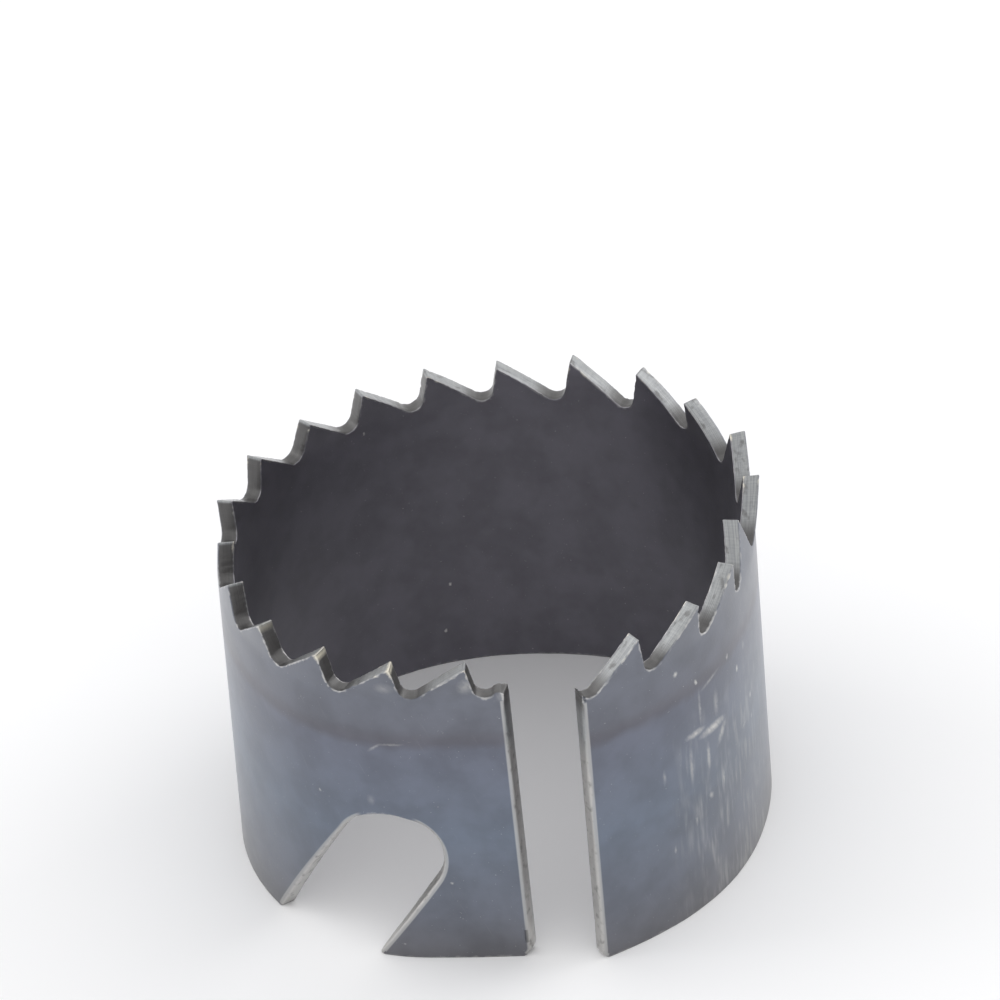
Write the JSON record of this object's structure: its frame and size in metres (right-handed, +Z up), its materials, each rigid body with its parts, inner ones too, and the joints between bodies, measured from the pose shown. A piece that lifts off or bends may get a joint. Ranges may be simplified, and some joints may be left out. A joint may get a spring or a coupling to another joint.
{
  "type": "hole saw",
  "caption": "Open steel ring blade of a lock-in hole saw: rolled toothed strip with an end gap and a slanted lock slot at its base.",
  "frame": {"origin": "axis of the ring's round wall, in the plane of the base rim", "axes": "+Z up along the ring's axis from the base rim to the teeth; -Y through the middle of the gap between the strip's ends; the lock slot is on the -X side of the gap"},
  "size_m": [0.044, 0.0439, 0.0291],
  "materials": {
    "blade_steel": "blued, satin, worn on the cut edges"
  },
  "bodies": {
    "root": {"ring_blade": "blade_steel"}
  },
  "joints": []
}
